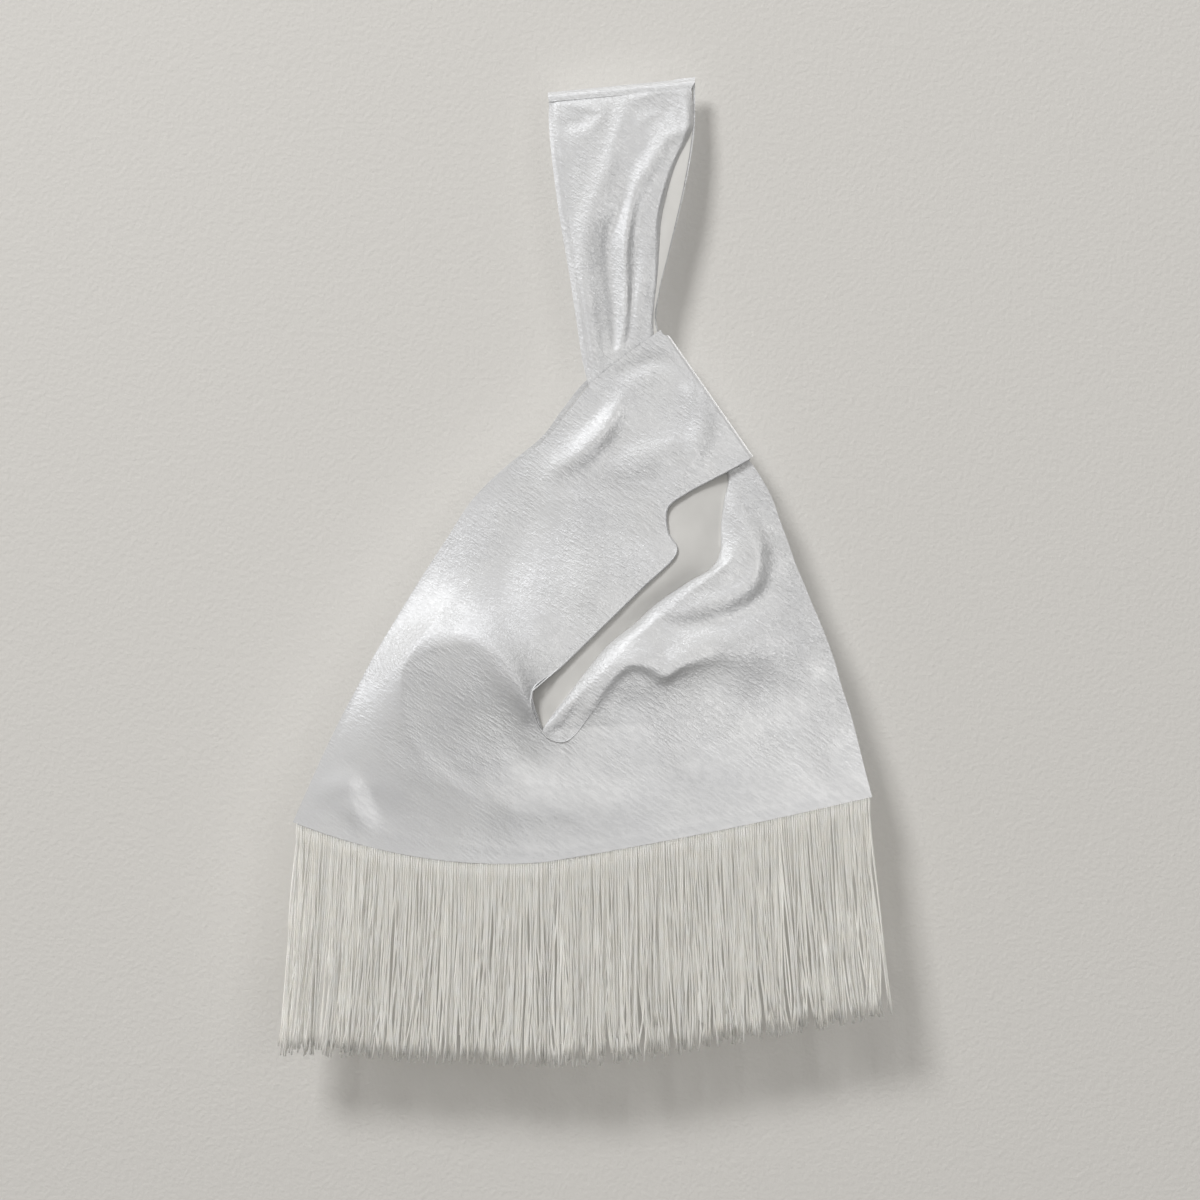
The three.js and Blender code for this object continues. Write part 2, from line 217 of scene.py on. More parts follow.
def build_mesh(name, positions, faces):
    """An object from points and quads, with doubled points merged and smooth shading."""
    mesh = bpy.data.meshes.new(name)
    mesh.from_pydata([tuple(p) for p in positions], [], [tuple(f) for f in faces])
    piece = bpy.data.objects.new(name, mesh)
    bpy.context.collection.objects.link(piece)
    bpy.ops.object.select_all(action="DESELECT")
    bpy.context.view_layer.objects.active = piece
    piece.select_set(True)
    bpy.ops.object.mode_set(mode="EDIT")
    bpy.ops.mesh.select_all(action="SELECT")
    bpy.ops.mesh.remove_doubles(threshold=0.00001)
    bpy.ops.object.mode_set(mode="OBJECT")
    bpy.ops.object.shade_smooth()
    piece.select_set(False)
    return piece


def grid_faces(rows, columns, start=0, flip=False):
    index = np.arange(rows * columns).reshape(rows, columns) + start
    quads = np.stack([index[:-1, :-1], index[:-1, 1:], index[1:, 1:], index[1:, :-1]], -1).reshape(-1, 4)
    return quads[:, ::-1] if flip else quads


def to_frame(grid, facing):
    """Photograph grid to metres. facing is -1 in front of the middle plane and 1 behind it."""
    px, py, depth = grid[..., 0], grid[..., 1], grid[..., 2]
    x = (px - HOOK_PX[0]) * METRES_PER_PX
    z = (HOOK_PX[1] - py) * METRES_PER_PX
    return np.stack([x, facing * depth * MM, z], -1).reshape(-1, 3)


def cloth_piece(name, grids, facing, thickness_mm):
    """One sheet of cloth from grids that share points, given its thickness inward."""
    positions, faces, count = [], [], 0
    for grid in grids:
        rows, columns = grid.shape[:2]
        positions.append(to_frame(grid, facing))
        faces.append(grid_faces(rows, columns, count, flip=facing > 0))
        count += rows * columns
    piece = build_mesh(name, np.vstack(positions), np.vstack(faces))
    thicken(piece, thickness_mm)
    return piece


def thicken(piece, thickness_mm):
    bpy.context.view_layer.objects.active = piece
    wall = piece.modifiers.new("cloth", "SOLIDIFY")
    wall.thickness = thickness_mm * MM
    wall.offset = -1
    wall.use_even_offset = False
    bpy.ops.object.modifier_apply(modifier=wall.name)
    piece.data.set_sharp_from_angle(angle=0.9)


def roll_over_rim(grid, widths_px, drops_mm, steps):
    """Lowers a half of the cloth towards its first column, so that it rolls over the mouth's edge."""
    width, drop = smooth_curve(widths_px, steps), smooth_curve(drops_mm, steps)
    drop[:MOUTH_BOTTOM_ROW * steps + 1] = 0
    off = np.linalg.norm(grid[..., :2] - grid[:, :1, :2], axis=2)
    near = np.clip(1 - off / np.maximum(width, 1), 0, 1)
    grid[..., 2] -= drop * near**2 + 0.6 * (drop > 0) * np.clip(1 - off / 3, 0, 1) ** 2


def behind(grid, cover, clearances_mm, reach_px=4):
    """Keeps each row of a grid its own clearance behind the cloth that covers it."""
    over = cover.reshape(-1, 3)
    for row, clearance in zip(grid, clearances_mm):
        for point in row:
            off = np.hypot(over[:, 0] - point[0], over[:, 1] - point[1])
            nearest = off.argmin()
            if off[nearest] < reach_px:
                point[2] = min(point[2], over[nearest, 2] - clearance)


def rolled_edge(boundary, inward, radii, turn, steps=8):
    """Cloth that turns in round an edge. boundary is a line of (px, py, depth), inward points from the edge
    back over the cloth, radii are in mm and turn is the angle it rolls through."""
    angles = np.linspace(0, turn, steps + 1)
    px_per_mm = MM / METRES_PER_PX
    rows = []
    for angle in angles:
        out = radii * math.sin(angle) * px_per_mm
        depth = boundary[:, 2] - radii * (1 - math.cos(angle))
        rows.append(np.column_stack([boundary[:, :2] - inward * out[:, None], depth]))
    return np.stack(rows, 1)


def evened(values, times):
    """A line of values, each drawn towards its neighbours that many times."""
    for _ in range(times):
        values[1:-1] = (values[:-2] + 2 * values[1:-1] + values[2:]) / 4
    return values


def edge_normals(boundary, inner):
    """Unit directions in the picture plane, square to a line and towards the row of points inner."""
    tangent = np.gradient(boundary[:, :2], axis=0)
    normal = np.column_stack([-tangent[:, 1], tangent[:, 0]])
    normal /= np.linalg.norm(normal, axis=1)[:, None]
    side = np.sign(((inner[:, :2] - boundary[:, :2]) * normal).sum(1))
    side[side == 0] = 1
    return normal * side[:, None]


def srgb(code):
    """An sRGB hex colour as linear RGBA."""
    parts = [int(code[i:i + 2], 16) / 255 for i in (1, 3, 5)]
    return [p / 12.92 if p <= 0.04045 else ((p + 0.055) / 1.055) ** 2.4 for p in parts] + [1.0]


FOLD_STRENGTH = 1.6
LEAST_DEPTH_MM = 0.47
LEAST_LINING_DEPTH_MM = 0.12

# Folds of the front, from the photograph: (px, py, width in px, height in mm)
FRONT_FOLDS = [
    # Ridge along the left side, and the pull that runs from its foot down into the mouth's lowest point
    [(470, 510, 26, 0.1, 14), (446, 544, 34, 0.5, 20), (430, 578, 34, 1.1, 26), (422, 606, 32, 1.4, 26),
     (416, 632, 24, 0.6, 24)],
    [(366, 716, 18, 0.4, 30), (390, 684, 22, 1.0, 30), (414, 654, 22, 1.5, 28), (442, 637, 20, 1.7, 26),
     (472, 640, 18, 1.9, 24), (496, 653, 15, 2.1, 20), (512, 672, 12, 1.9, 16), (523, 694, 9, 1.4, 12),
     (530, 712, 7, 0.7, 10)],
    [(316, 806, 14, 0.6, 50), (336, 758, 22, 2.0, 80), (357, 716, 32, 3.2, 95), (386, 682, 42, 3.9, 100),
     (430, 652, 44, 4.4, 95), (478, 648, 38, 4.6, 85), (510, 668, 26, 3.9, 60), (528, 700, 16, 2.4, 40),
     (546, 738, 10, 0.8, 30)],
    # Drop behind the lip of the mouth
    [(562, 728, 4, -0.3), (576, 711, 6, -0.4), (594, 688, 8, -0.3)],
    # Flat behind the ridge and the pull
    [(540, 484, 20, -0.3), (520, 540, 26, -0.8), (508, 592, 26, -0.9), (516, 626, 16, -0.5)],
    # Right half: the broad fold from the mouth's lowest point to the side, and the hollow under it
    [(588, 708, 10, 0.6, 7), (606, 682, 15, 1.2, 8), (628, 662, 18, 1.7, 9), (650, 665, 18, 1.6, 8),
     (664, 674, 15, 1.5, 7), (680, 664, 18, 1.7, 9), (704, 654, 24, 1.8, 14), (736, 650, 28, 1.3, 20),
     (766, 648, 30, 0.6, 30)],
    [(640, 704, 20, -0.7), (690, 696, 24, -1.0), (740, 694, 26, -0.9), (790, 700, 24, -0.6)],
    # Right rim of the mouth
    [(724, 500, 9, 0.5), (748, 528, 12, 1.2), (760, 560, 12, 1.4), (746, 590, 12, 1.2), (712, 604, 11, 0.8),
     (676, 616, 10, 0.4)],
    [(660, 622, 8, -0.3), (690, 624, 10, -0.6), (730, 618, 12, -0.6), (770, 590, 12, -0.5)],
    # Right side and the corners of the hem
    [(790, 560, 22, 0.8, 18), (820, 612, 24, 2.0, 14), (838, 656, 24, 2.2, 12), (854, 700, 20, 1.8, 10),
     (862, 724, 14, 0.8, 10)],
    [(862, 714, 12, 0.5), (846, 738, 13, 1.2), (840, 760, 13, 1.5), (850, 779, 10, 1.3), (868, 789, 8, 0.6)],
    [(796, 730, 18, -0.6), (808, 766, 16, -1.0), (828, 794, 9, -0.6)],
    [(310, 800, 12, 0.4, 16), (326, 788, 12, 2.0, 14), (346, 784, 12, 2.4, 12), (364, 792, 12, 1.0, 12)],
    [(332, 790, 12, 0.4, 16), (348, 806, 12, 2.2, 12), (364, 820, 10, 1.0, 10)],
    [(350, 766, 9, -0.4), (368, 792, 11, -0.9), (386, 818, 11, -0.6)],
    # Broad soft undulations low on the front
    [(470, 820, 26, 0.6), (560, 806, 30, 0.8), (640, 812, 26, 0.5)],
    [(690, 740, 20, 0.4), (700, 790, 26, 0.5), (706, 826, 20, 0.2)],
    # Edge of the fringe's tape through the cloth
    [(305, 814, 2.5, 0.16), (400, 836, 2.5, 0.16), (480, 847, 2.5, 0.16), (545, 851, 2.5, 0.16),
     (640, 836, 2.5, 0.16), (760, 812, 2.5, 0.16), (866, 788, 2.5, 0.16)],
]
FLAP_FOLDS = [
    [(686, 392, 9, 0.7), (702, 420, 12, 1.1), (696, 452, 12, 0.9), (678, 484, 8, 0.3)],
    [(556, 470, 12, 0.8), (584, 452, 14, 2.0), (606, 428, 12, 1.8), (622, 400, 9, 0.5)],
    [(600, 470, 14, 0.5), (640, 462, 16, 0.9), (676, 446, 14, 0.8)],
    [(558, 490, 18, 0.3), (574, 524, 18, 0.8), (582, 560, 18, 0.8), (584, 594, 14, 0.4)],
    [(610, 470, 28, -0.6), (640, 540, 20, -0.6)],
    [(620, 374, 9, -0.6), (656, 362, 9, -0.6), (684, 372, 8, 0)],
]
BACK_FOLDS = [
    [(340, 730, 24, 0.8), (430, 690, 26, 1.6), (520, 655, 22, 2.0), (580, 632, 14, 1.4)],
    [(380, 760, 26, -0.8), (470, 730, 28, -1.6), (560, 700, 22, -1.4), (590, 660, 12, -0.8)],
    [(600, 660, 14, 0.8), (680, 650, 22, 1.5), (760, 660, 24, 1.4), (830, 690, 16, 0.7)],
    [(640, 720, 24, -1.0), (730, 715, 28, -1.4), (810, 735, 20, -0.9)],
    [(600, 610, 10, 1.0), (640, 590, 12, 1.2), (700, 560, 14, 1.2), (750, 540, 12, 0.7)],
    [(400, 640, 20, -0.8), (470, 590, 22, -1.6), (540, 550, 20, -1.2)],
    [(430, 590, 16, 0.8), (500, 540, 18, 1.4), (570, 500, 16, 1.0)],
    [(560, 470, 14, 0.9), (610, 430, 14, 1.1), (660, 400, 12, 0.6)],
    [(620, 520, 14, -0.9), (680, 480, 14, -0.9), (715, 450, 10, -0.4)],
    [(318, 770, 8, 0.8), (336, 796, 9, 1.8), (348, 822, 9, 0.8)],
    [(846, 744, 10, 0.8), (830, 772, 10, 1.6), (846, 792, 8, 0.8)],
]


def body_strips(left_side, left_mouth, right_mouth, left_full, right_full, columns):
    """The left and the right half of one face of the bag, joined below the mouth."""
    left = strip(left_side, left_mouth, LEFT_SIDE_DEPTHS, left_full, columns, swells_to_right,
                 corners=(None, MOUTH_BOTTOM_ROW), bows=LEFT_ROW_BOWS_PX)
    right = strip(right_mouth, RIGHT_SIDE_PX, RIGHT_SIDE_DEPTHS, right_full, columns, swells_to_left,
                  corners=(MOUTH_BOTTOM_ROW, None), bows=RIGHT_ROW_BOWS_PX)
    return left, right


def lay_folds(grid, relief, creases):
    """Adds folds and creases where the sheet has room for them, and keeps it off the middle plane."""
    room = np.clip((grid[..., 2] - 0.2) / 3, 0.15, 1)
    grid[..., 2] += room * (FOLD_STRENGTH * relief + creases)
    grid[..., 2] = np.maximum(grid[..., 2], LEAST_DEPTH_MM)


def flap_roll(left, radii, turn=2.6, steps=8):
    """The flap's edge, turned in from the loop's end down to the mouth's lowest point."""
    start = MOUTH_BOTTOM_ROW * ROW_STEPS
    edge, inner = left[start:, -1][::-1], left[start:, -4][::-1]
    normals = evened(edge_normals(edge, inner), 6)
    normals /= np.linalg.norm(normals, axis=1)[:, None]
    share = np.linspace(0, 1, len(edge))
    width = np.interp(share, [r[0] for r in radii], [r[1] for r in radii])
    return rolled_edge(edge, normals, width, turn, steps)


OPEN_CORNER_PX = 7


def loop_end_roll(left, radius_px=5.0, steps=12):
    """The short loop's end: cloth that goes round from the front to the back. It stays open in its top
    corner,
    which leaves room for the long strap's edge when the loop slides up."""
    edge = left[-1]
    inward = edge_normals(edge, left[-5])
    from_corner = np.linalg.norm(edge[:, :2] - edge[0, :2], axis=1)
    closed = np.clip((from_corner - OPEN_CORNER_PX) / 6, 0.02, 1)
    rows = []
    for share in np.linspace(0, 1, steps + 1):
        angle = math.pi * share * closed
        out = edge[:, :2] - inward * (radius_px * np.sin(angle))[:, None]
        rows.append(np.column_stack([out, edge[:, 2] * np.cos(angle)]))
    return np.stack(rows)


def front_satin():
    left, right = body_strips(LEFT_SIDE_PX, LEFT_MOUTH_PX, RIGHT_MOUTH_PX, LEFT_FULL_DEPTHS,
                              RIGHT_FULL_DEPTHS, 96)
    roll_over_rim(right, RIM_WIDTHS_PX, RIM_DROP_MM, ROW_STEPS)
    for grid, flap in ((left, True), (right, False)):
        relief = fold_relief(grid, FRONT_FOLDS)
        if flap:
            rows_up = np.arange(len(grid)) / ROW_STEPS - MOUTH_BOTTOM_ROW
            relief += np.clip(rows_up, 0, 1)[:, None] * fold_relief(grid, FLAP_FOLDS)
        lay_folds(grid, relief, crinkle(grid, 11))
    end = loop_end_roll(left)
    roll = flap_roll(left, [(0, 0.3), (0.75, 0.3), (0.9, 0.15), (1, 0.1)])
    piece = cloth_piece("front_satin_cloth", [left, right, end, roll], -1, SATIN_MM)
    return piece, left, right


front_cloth, front_left, front_right = front_satin()


# The back is the front's cut, with less in it, and its mouth lies shut: its right half is tucked in
BACK_SIDE_PX = LEFT_SIDE_PX[:9] + [(505, 467), (541, 437), (563, 408), (585, 381), (616, 358), (660, 331)]
BACK_LEFT_MOUTH_PX = [
    (545, 862), (555, 800), (570, 720), (588, 640), (594, 622), (608, 600), (640, 577), (668, 557),
    (694, 538), (712, 520), (724, 506), (732, 494), (738, 482), (744, 470), (749, 459),
]
BACK_RIGHT_MOUTH_PX = [
    (545, 862), (555, 800), (570, 720), (588, 640), (590, 618), (593, 598), (600, 578), (612, 562),
    (626, 550),
    (640, 540), (654, 530), (666, 521), (678, 512), (688, 503), (694, 494), (694, 480), (688, 462),
]
BACK_LEFT_FULL = [0.1, 1.8, 3.0, 3.6, 3.7, 3.6, 3.4, 3.0, 2.4, 1.8, 1.2, 0.8, 0.5, 0.3, 0]
BACK_RIGHT_FULL = [0.1, 1.8, 3.0, 3.6, 2.7, 2.3, 2.0, 1.8, 1.6, 1.5, 1.5, 1.3, 1.0, 0.7, 0.5, 0.4, 0.4]


def back_satin():
    left, right = body_strips(BACK_SIDE_PX, BACK_LEFT_MOUTH_PX, BACK_RIGHT_MOUTH_PX, BACK_LEFT_FULL,
                              BACK_RIGHT_FULL, 72)
    for grid in (left, right):
        lay_folds(grid, fold_relief(grid, BACK_FOLDS), crinkle(grid, 41, angle=2.4))
    return cloth_piece("back_satin_cloth", [left, right], 1, SATIN_MM), left, right


back_cloth, back_left, back_right = back_satin()


# The lining's mesh takes every second row and column of the satin's
LINING_STEPS = ROW_STEPS // 2


def lining_grids(left, right):
    """Lining under one face of the bag: the same folds, one layer in, and short of the side seams."""
    grids = []
    for grid in (left[::2, 2::2], right[::2, :-2:2]):
        grid = grid.copy()
        grid[..., 2] = np.maximum(grid[..., 2] - SATIN_MM - LAYER_GAP_MM, LEAST_LINING_DEPTH_MM)
        grids.append(grid)
    return grids


def mouth_facing(right_lining, columns=20):
    """The lining's part that shows in the mouth, from the right half's edge to under the flap."""
    edge = right_lining[MOUTH_BOTTOM_ROW * LINING_STEPS:, 0]
    reach = smooth_curve(np.column_stack([FACING_PX, FACING_DEPTHS]), ROW_STEPS)[::2]
    u = np.linspace(0, 1, columns + 1)
    eased = np.clip(u / 0.7, 0, 1)
    eased = eased * (2 - eased)
    flat = edge[:, None, :2] * (1 - u)[None, :, None] + reach[:, None, :2] * u[None, :, None]
    depth = edge[:, 2:] * (1 - eased) + reach[:, 2:] * eased
    grid = np.dstack([flat, depth])
    behind(grid, front_left, np.interp(np.arange(len(grid)), [0, 8, 18], [0.5, 0.6, FLAP_CLEARANCE_MM]))
    return grid


front_lining_left, front_lining_right = lining_grids(front_left, front_right)
front_lining_right[MOUTH_BOTTOM_ROW * LINING_STEPS + 2:, 0, 2] += LAYER_GAP_MM
front_lining = cloth_piece("front_lining_cloth",
                           [front_lining_left, front_lining_right, mouth_facing(front_lining_right)[:, ::-1]],
                           -1, LINING_MM)
back_lining = cloth_piece("back_lining_cloth", lining_grids(back_left, back_right), 1, LINING_MM)


def tube(name, lines, radii_mm, sides=6):
    """Round threads along lines of (px, py, depth), as one mesh. UV runs round each thread and, in mm, along
    it."""
    positions, faces, uvs = [], [], []
    angles = np.linspace(0, 2 * math.pi, sides, endpoint=False)
    for line, radius in zip(lines, radii_mm):
        points = to_frame(np.asarray(line, float)[None], -1)
        tangents = np.gradient(points, axis=0)
        tangents /= np.linalg.norm(tangents, axis=1)[:, None]
        side = np.cross(tangents, [0.0, 1.0, 0.0])
        side /= np.linalg.norm(side, axis=1)[:, None]
        up = np.cross(side, tangents)
        taper = np.broadcast_to(radius, len(points)) * MM
        ring = (points[:, None] + taper[:, None, None]
                * (side[:, None] * np.cos(angles)[:, None] + up[:, None] * np.sin(angles)[:, None]))
        start = len(positions)
        positions.extend(ring.reshape(-1, 3))
        rows = len(points)
        travelled = np.concatenate([[0], np.cumsum(np.linalg.norm(np.diff(points, axis=0), axis=1))]) / MM
        for row in range(rows - 1):
            for side_index in range(sides):
                other = (side_index + 1) % sides
                low, high = start + row * sides, start + (row + 1) * sides
                faces.append((low + side_index, low + other, high + other, high + side_index))
                u0, u1 = side_index / sides, (side_index + 1) / sides
                v0, v1 = travelled[row], travelled[row + 1]
                uvs.extend([(u0, v0), (u1, v0), (u1, v1), (u0, v1)])
        for base, order in ((start, 1), (start + (rows - 1) * sides, -1)):
            faces.append(tuple(base + i for i in range(sides))[::-order])
            uvs.extend([(0.5, 0.0)] * sides)
    mesh = bpy.data.meshes.new(name)
    mesh.from_pydata([tuple(p) for p in positions], [], faces)
    layer = mesh.uv_layers.new(name="thread")
    layer.data.foreach_set("uv", np.asarray(uvs, float).ravel())
    mesh.shade_smooth()
    piece = bpy.data.objects.new(name, mesh)
    bpy.context.collection.objects.link(piece)
    return piece


def row_line(grid, row=None, column=None, lift=0.0):
    line = (grid[:, column] if row is None else grid[row]).copy()
    line[:, 2] += lift
    return line


# Rolled seam of the mouth's edge, on the loop's front and back
mouth_start = (MOUTH_BOTTOM_ROW + 2) * ROW_STEPS
LIP_PX = [(533, 690), (531.5, 703), (535, 716), (540, 727), (547, 736), (556, 740.5), (566, 740.5),
          (575, 734),
          (583, 724), (592, 711), (602, 697)]


def mouth_lip():
    """The rolled seam runs on from the flap's edge round the mouth's lowest point, and fades out on the
    right."""
    flap_edge = row_line(front_left[mouth_start:], column=-1, lift=-0.4)[::-1]
    lip = smooth_curve(LIP_PX, 6)
    satin = np.vstack([front_left.reshape(-1, 3), front_right.reshape(-1, 3)])
    nearest = [np.hypot(*(satin[:, :2] - point).T).argmin() for point in lip]
    depths = evened(satin[nearest, 2], 4)
    line = np.vstack([flap_edge, np.column_stack([lip, depths + 0.25])])
    lip_radii = np.interp(np.linspace(0, 1, len(lip)), [0, 0.15, 0.5, 0.7, 1], [0.4, 0.62, 0.5, 0.2, 0.05])
    radii = np.concatenate([np.linspace(0.2, 0.35, len(flap_edge)), lip_radii])
    return tube("front_mouth_rolled_seam", [line], [radii])


front_mouth_seam = mouth_lip()
back_line = row_line(back_left[mouth_start:], column=-1)
back_line[:, 2] *= -1
back_mouth_seam = tube("back_mouth_rolled_seam", [back_line], [0.55])


# Handle, from the strap inside the loop up to the seam at its top
HANDLE_FRONT_LEFT_PX = [
    (640, 457), (600, 408), (585, 372), (577, 325), (569, 273), (559, 214), (552, 160), (549, 125),
    (549, 103),
]
HANDLE_FRONT_RIGHT_PX = [
    (696, 402), (664, 362), (656, 330), (661, 270), (662, 216), (674, 172), (691, 134), (693, 112), (691, 90),
]
HANDLE_FRONT_DEPTHS = [2.0, 2.0, 2.4, 3.4, 4.6, 5.4, 5.2, 4.4, 3.4]
HANDLE_BACK_LEFT_PX = [
    (549, 103), (548, 97), (548, 92.5), (548.5, 97), (551, 126), (554, 160), (561, 214), (571, 273),
    (579, 325), (587, 372), (602, 408), (640, 457),
]
HANDLE_BACK_RIGHT_PX = [
    (691, 90), (694.5, 83), (695, 78), (695, 83), (695, 108), (694, 134), (688, 173), (679, 214),
    (668, 258), (660, 290), (658, 330), (698, 402),
]
HANDLE_BACK_DEPTHS = [3.3, 2.9, 0, -2.6, -3.6, -3.8, -3.6, -3.0, -2.4, -2.1, -2.0, -2.0]
# How far the back strap's right edge curls forward, row by row
HANDLE_CURL_MM = [0, 0, 0, 3.0, 5.0, 6.2, 6.6, 5.6, 4.4, 3.4, 2.0, 0]
HANDLE_FOLDS = [
    # Seam down the left edge
    [(553, 104, 1.6, -0.5), (556, 139, 1.6, -0.5), (563, 188, 1.6, -0.5), (572, 244, 1.6, -0.5),
     (582, 303, 1.6, -0.5), (591, 363, 1.6, -0.5), (604, 398, 1.6, -0.4)],
    # The top, folded over the hook, and the crease under it
    [(546, 85, 10, 0.9), (600, 81, 10, 1.0), (650, 78, 9, 0.9), (694, 76, 8, 0.8)],
    [(551, 102, 3, -0.6), (600, 98, 3, -0.6), (650, 93, 3, -0.4), (690, 89, 3, -0.3)],
    # Left pleat
    [(626, 98, 6, 0), (623, 112, 7, 0.6), (619, 132, 8, 1.0), (612, 158, 9, 1.3), (603, 184, 11, 1.6),
     (592, 214, 12, 2.0),
     (586, 240, 12, 2.2), (586, 273, 11, 2.1), (590, 307, 9, 1.9), (595, 348, 7, 1.4), (600, 380, 5, 0.7)],
    # Smooth valley between the pleats
    [(634, 190, 9, -0.5), (617, 218, 8, -1.4), (609, 242, 7, -2.0), (610, 273, 7, -2.3), (614, 311, 6, -2.0),
     (615, 345, 4, -1.2)],
    # Right pleat, from the top right corner down
    [(628, 106, 5, 0), (638, 98, 5, 0.5), (653, 94, 5, 0.8), (675, 91, 5, 0.9), (685, 100, 5, 1.0),
     (690, 121, 5, 1.0),
     (686, 132, 6, 1.1), (668, 139, 8, 1.4), (653, 162, 9, 1.9), (642, 180, 9, 2.2), (631, 206, 7, 2.3),
     (627, 232, 6, 2.3), (625, 258, 5, 2.3), (626, 290, 5, 2.0), (625, 320, 5, 1.6), (620, 350, 4, 0.9)],
    [(654, 212, 9, 0), (650, 240, 9, 0.6), (646, 272, 8, 1.0), (640, 305, 7, 1.0), (634, 345, 6, 0.4)],
    [(638, 226, 4, 0), (636, 256, 4, -0.6), (633, 290, 4, -0.8), (629, 340, 3, -0.3)],
    # Curl round the dimple at the top left
    [(553, 106, 4, 0), (562, 106, 4, 0.3), (586, 108, 5, 0.7), (602, 113, 6, 0.8), (598, 124, 6, 0.7),
     (586, 136, 8, 0.5), (571, 147, 9, 0.1), (560, 152, 9, 0)],
    [(568, 126, 7, -0.7), (582, 122, 6, -0.9)],
    [(640, 112, 9, -0.7), (666, 112, 8, -0.9), (650, 128, 9, -0.7)],
    [(566, 170, 9, -0.5), (572, 220, 7, -0.5), (576, 262, 5, -0.5)],
]


HANDLE_FOLD_STRENGTH = 0.78


def handle_grid(left, right, depths, columns=64):
    return strip(left, right, depths, [0.0] * len(depths), columns, np.zeros_like, steps=HANDLE_STEPS)


def soften_edges(grid, reach_px=8, drops_mm=(1.4, 2.6)):
    """Both long edges of the strap turn back a little."""
    towards_top = np.clip(np.arange(len(grid), 0, -1) / 24, 0, 1)[:, None]
    for edge, drop in ((grid[:, :1], drops_mm[0]), (grid[:, -1:], drops_mm[1])):
        off = np.linalg.norm(grid[..., :2] - edge[..., :2], axis=2)
        grid[..., 2] -= drop * towards_top * np.clip(1 - off / reach_px, 0, 1) ** 2


def curl_forward(grid, curl_mm):
    """The right part of the back strap comes forward to the front strap's edge."""
    u = np.linspace(0, 1, grid.shape[1])
    share = np.clip((u - 0.3) / 0.7, 0, 1)
    grid[..., 2] += smooth_curve(curl_mm, HANDLE_STEPS) * (share * share * (3 - 2 * share))


def handle_sheets():
    front = handle_grid(HANDLE_FRONT_LEFT_PX, HANDLE_FRONT_RIGHT_PX, HANDLE_FRONT_DEPTHS)
    front[..., 2] += HANDLE_FOLD_STRENGTH * fold_relief(front, HANDLE_FOLDS) + crinkle(front, 71,
                                                                                       angle=1.3,
                                                                                       strength=0.9)
    soften_edges(front)
    back = handle_grid(HANDLE_BACK_LEFT_PX, HANDLE_BACK_RIGHT_PX, HANDLE_BACK_DEPTHS)
    behind_middle = np.clip(-back[..., 2] / 3, 0, 1)
    back[..., 2] -= behind_middle * (crinkle(back, 77, angle=1.4, strength=0.8)
                                     + ripple(back[..., 0], back[..., 1] / 4, 17, 5))
    curl_forward(back, HANDLE_CURL_MM)
    front_under, back_under = front[::2, 1:-1:2].copy(), back[3 * HANDLE_STEPS::2, 1:-1:2].copy()
    front_under[..., 2] -= SATIN_MM + LAYER_GAP_MM
    back_under[..., 2] += SATIN_MM + LAYER_GAP_MM
    return (
        cloth_piece("handle_front_cloth", [front], -1, SATIN_MM),
        cloth_piece("handle_back_cloth", [back], -1, SATIN_MM),
        cloth_piece("handle_front_lining_cloth", [front_under], -1, LINING_MM),
        cloth_piece("handle_back_lining_cloth", [back_under], -1, LINING_MM),
        tube("handle_top_seam_roll", [row_line(front, row=-1, lift=-0.3)[1:-1]], [0.22]),
    )


handle_front, handle_back, handle_front_lining, handle_back_lining, handle_seam = handle_sheets()


# Fringe
HEM_LINE = np.vstack([front_left[0, :, :2], front_right[0, 1:, :2]])
TIP_LINE_PX = [(280, 1053), (330, 1053), (420, 1060), (560, 1065), (640, 1059), (720, 1043), (800, 1031),
               (888, 1013)]
STRANDS_PER_LAYER = 250
STRAND_RADIUS_MM = 0.4
# Length of thread in which its two plies go round once
TWIST_MM = 2.4
TUFT_WIDTHS_PX = (7, 26)
STRAY_SHARE = 0.08
SHORT_SHARE = 0.1
TAPE_RISE_PX = 21.5
SEAM_WIDTH_PX = 22


def hem_height(px):
    return np.interp(px, HEM_LINE[:, 0], HEM_LINE[:, 1])


